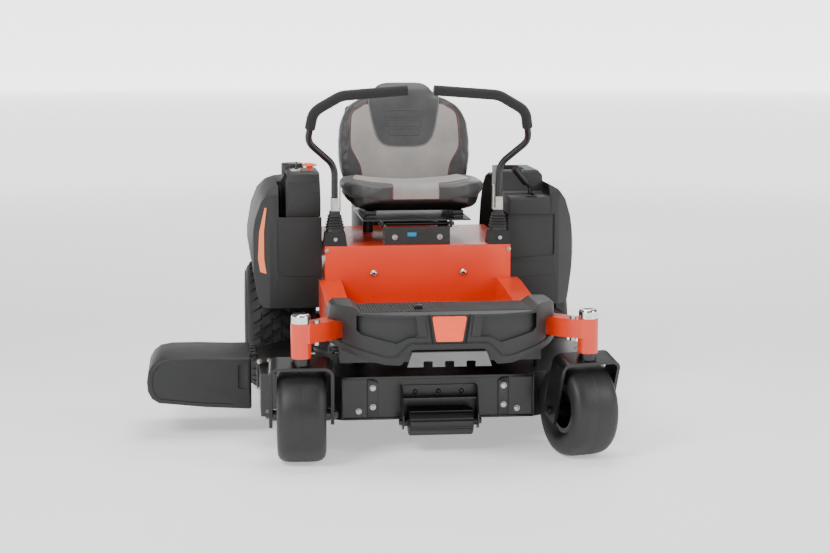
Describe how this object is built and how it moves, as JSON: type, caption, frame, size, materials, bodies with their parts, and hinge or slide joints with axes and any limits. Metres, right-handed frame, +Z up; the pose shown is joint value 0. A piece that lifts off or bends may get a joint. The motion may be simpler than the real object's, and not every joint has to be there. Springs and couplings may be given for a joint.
{
  "type": "zero turn mower",
  "caption": "Ride-on zero turn mower with swinging lap bars, swivelling front casters, tilting seat and a lifting side-discharge deck.",
  "frame": {"origin": "middle of the footprint, on the ground the tyres stand on", "axes": "+Z up, the front faces -Y, +X is the seated driver's left"},
  "size_m": [1.432, 1.884, 1.0752],
  "materials": {
    "orange_paint": "gloss powder coat",
    "black_paint": "semi-gloss powder coat",
    "grey_paint": "satin powder coat",
    "dark_plastic": "fine moulded texture",
    "black_plastic": "satin",
    "orange_plastic": "gloss",
    "tank_plastic": "satin",
    "chrome_plate": "bright",
    "zinc_steel": "zinc plated",
    "cast_alloy": "as cast",
    "tyre_rubber": "matte",
    "soft_rubber": "matte",
    "rim_paint": "gloss",
    "seat_vinyl": "embossed vinyl",
    "seat_shell": "satin",
    "foam_grip": "foam"
  },
  "bodies": {
    "chassis": {"frame_rails": "black_paint", "floor_pan": "black_paint", "caster_arms": "orange_paint", "caster_caps": "chrome_plate", "seat_pan": "orange_paint", "side_brackets": "orange_paint", "front_bumper": "dark_plastic", "bumper_badge": "orange_plastic", "skid_plate": "grey_paint", "fender_left": "dark_plastic", "fender_right": "dark_plastic", "console_right": "dark_plastic", "console_left": "dark_plastic", "fuel_tank": "tank_plastic", "chassis_fasteners": "zinc_steel", "battery": "black_plastic", "seat_hinge": "black_paint", "boot_bases": "black_plastic", "boot_left": "soft_rubber", "boot_right": "soft_rubber", "transaxles": "cast_alloy", "engine_block": "cast_alloy", "engine_shroud": "black_plastic", "muffler": "black_paint", "rear_guard": "black_paint"},
    "deck": {"deck_shell": "black_paint", "deck_fittings": "black_paint", "belt_covers": "black_plastic", "deck_belt": "soft_rubber"},
    "roller": {"front_roller": "black_plastic"},
    "chute": {"chute": "dark_plastic"},
    "blade_left": {"blade_set_left": "zinc_steel"},
    "blade_right": {"blade_set_right": "zinc_steel"},
    "clutch": {"clutch_pulley": "zinc_steel"},
    "lift_front": {"lift_shaft_front": "zinc_steel"},
    "lift_rear": {"lift_shaft_rear": "zinc_steel"},
    "height_lever": {"height_lever": "foam_grip"},
    "seat_tilt": {"seat_plate": "black_paint"},
    "seat": {"seat_base": "seat_shell", "seat_cushion": "seat_vinyl", "seat_backrest": "seat_vinyl"},
    "fuel_cap": {"fuel_cap": "black_plastic"},
    "key": {"ignition_key": "zinc_steel"},
    "pto_knob": {"pto_knob": "orange_plastic"},
    "control_left": {"control_arm_left": "zinc_steel"},
    "lap_left": {"lap_bar_left": "black_paint", "grip_left": "foam_grip"},
    "caster_left": {"caster_fork_left": "black_paint"},
    "caster_wheel_left": {"caster_rim_left": "rim_paint", "caster_tyre_left": "tyre_rubber"},
    "rear_wheel_left": {"rear_rim_left": "rim_paint", "rear_tyre_left": "tyre_rubber"},
    "control_right": {"control_arm_right": "zinc_steel"},
    "lap_right": {"lap_bar_right": "black_paint", "grip_right": "foam_grip"},
    "caster_right": {"caster_fork_right": "black_paint"},
    "caster_wheel_right": {"caster_rim_right": "rim_paint", "caster_tyre_right": "tyre_rubber"},
    "rear_wheel_right": {"rear_rim_right": "rim_paint", "rear_tyre_right": "tyre_rubber"}
  },
  "joints": [
    {"name": "rear_wheel_left_spin", "type": "hinge", "parent": "chassis", "child": "rear_wheel_left", "pos_m": [0.596, 0.35196, 0.2285], "axis": [1, 0, 0], "continuous": true},
    {"name": "caster_left_swivel", "type": "hinge", "parent": "chassis", "child": "caster_left", "pos_m": [0.58, -0.84804, 0.36], "axis": [0, 0, 1], "continuous": true},
    {"name": "caster_wheel_left_spin", "type": "hinge", "parent": "caster_left", "child": "caster_wheel_left", "pos_m": [0.56484, -0.79517, 0.14], "axis": [0.9613, 0.2756, 0], "continuous": true},
    {"name": "control_left_drive", "type": "hinge", "parent": "chassis", "child": "control_left", "pos_m": [0.43, -0.08804, 0.5], "axis": [1, 0, 0], "range_deg": [-7, 12], "deforming": ["boot_left"]},
    {"name": "lap_left_swing", "type": "hinge", "parent": "control_left", "child": "lap_left", "pos_m": [0.43, -0.08804, 0.69], "axis": [0, 1, 0], "range_deg": [0, 25]},
    {"name": "rear_wheel_right_spin", "type": "hinge", "parent": "chassis", "child": "rear_wheel_right", "pos_m": [-0.276, 0.35196, 0.2285], "axis": [1, 0, 0], "continuous": true},
    {"name": "caster_right_swivel", "type": "hinge", "parent": "chassis", "child": "caster_right", "pos_m": [-0.26, -0.84804, 0.36], "axis": [0, 0, 1], "continuous": true},
    {"name": "caster_wheel_right_spin", "type": "hinge", "parent": "caster_right", "child": "caster_wheel_right", "pos_m": [-0.25712, -0.79311, 0.14], "axis": [0.9986, -0.0523, 0], "continuous": true},
    {"name": "control_right_drive", "type": "hinge", "parent": "chassis", "child": "control_right", "pos_m": [-0.11, -0.08804, 0.5], "axis": [1, 0, 0], "range_deg": [-7, 12], "deforming": ["boot_right"]},
    {"name": "lap_right_swing", "type": "hinge", "parent": "control_right", "child": "lap_right", "pos_m": [-0.11, -0.08804, 0.69], "axis": [0, -1, 0], "range_deg": [0, 25]},
    {"name": "deck_lift", "type": "slide", "parent": "chassis", "child": "deck", "axis": [0, 0, 1], "range_m": [-0.05, 0.012], "deforming": ["deck_belt"]},
    {"name": "lift_shaft_front_turn", "type": "hinge", "parent": "chassis", "child": "lift_front", "pos_m": [0.16, -0.62304, 0.305], "axis": [1, 0, 0], "range_deg": [-35, 10]},
    {"name": "lift_shaft_rear_turn", "type": "hinge", "parent": "chassis", "child": "lift_rear", "pos_m": [0.16, -0.20804, 0.305], "axis": [1, 0, 0], "range_deg": [-35, 10]},
    {"name": "height_lever_turn", "type": "hinge", "parent": "chassis", "child": "height_lever", "pos_m": [0.555, 0.03196, 0.5], "axis": [1, 0, 0], "range_deg": [-4, 16]},
    {"name": "roller_spin", "type": "hinge", "parent": "deck", "child": "roller", "pos_m": [0.16, -0.72304, 0.094], "axis": [1, 0, 0], "continuous": true},
    {"name": "chute_fold", "type": "hinge", "parent": "deck", "child": "chute", "pos_m": [-0.381, -0.84804, 0.238], "axis": [0, 1, 0], "range_deg": [0, 70]},
    {"name": "blade_left_spin", "type": "hinge", "parent": "deck", "child": "blade_left", "pos_m": [0.418, -0.23804, 0.098], "axis": [0, 0, 1], "continuous": true},
    {"name": "blade_right_spin", "type": "hinge", "parent": "deck", "child": "blade_right", "pos_m": [-0.098, -0.36804, 0.098], "axis": [0, 0, 1], "continuous": true},
    {"name": "clutch_spin", "type": "hinge", "parent": "chassis", "child": "clutch", "pos_m": [0.16, 0.63196, 0.245], "axis": [0, 0, 1], "continuous": true},
    {"name": "seat_tilt", "type": "hinge", "parent": "chassis", "child": "seat_tilt", "pos_m": [0.16, -0.07804, 0.618], "axis": [1, 0, 0], "range_deg": [0, 35]},
    {"name": "seat_slide", "type": "slide", "parent": "seat_tilt", "child": "seat", "axis": [0, 1, 0], "range_m": [-0.05, 0.05]},
    {"name": "fuel_cap_turn", "type": "hinge", "parent": "chassis", "child": "fuel_cap", "pos_m": [-0.234, 0.19196, 0.76], "axis": [0, 0, 1], "range_deg": [0, 120]},
    {"name": "key_turn", "type": "hinge", "parent": "chassis", "child": "key", "pos_m": [-0.229, 0.00696, 0.788], "axis": [0, 0, 1], "range_deg": [-90, 0]},
    {"name": "pto_pull", "type": "slide", "parent": "chassis", "child": "pto_knob", "axis": [0, 0, 1], "range_m": [0, 0.018]}
  ],
  "couplings": [
    {"joint": "lift_shaft_front_turn", "follows": "deck_lift", "rad_per_m": 11.111},
    {"joint": "lift_shaft_rear_turn", "follows": "deck_lift", "rad_per_m": 11.111},
    {"joint": "height_lever_turn", "follows": "deck_lift", "rad_per_m": -5.24},
    {"joint": "blade_right_spin", "follows": "blade_left_spin", "ratio": 1},
    {"joint": "clutch_spin", "follows": "blade_left_spin", "ratio": 1.2}
  ]
}
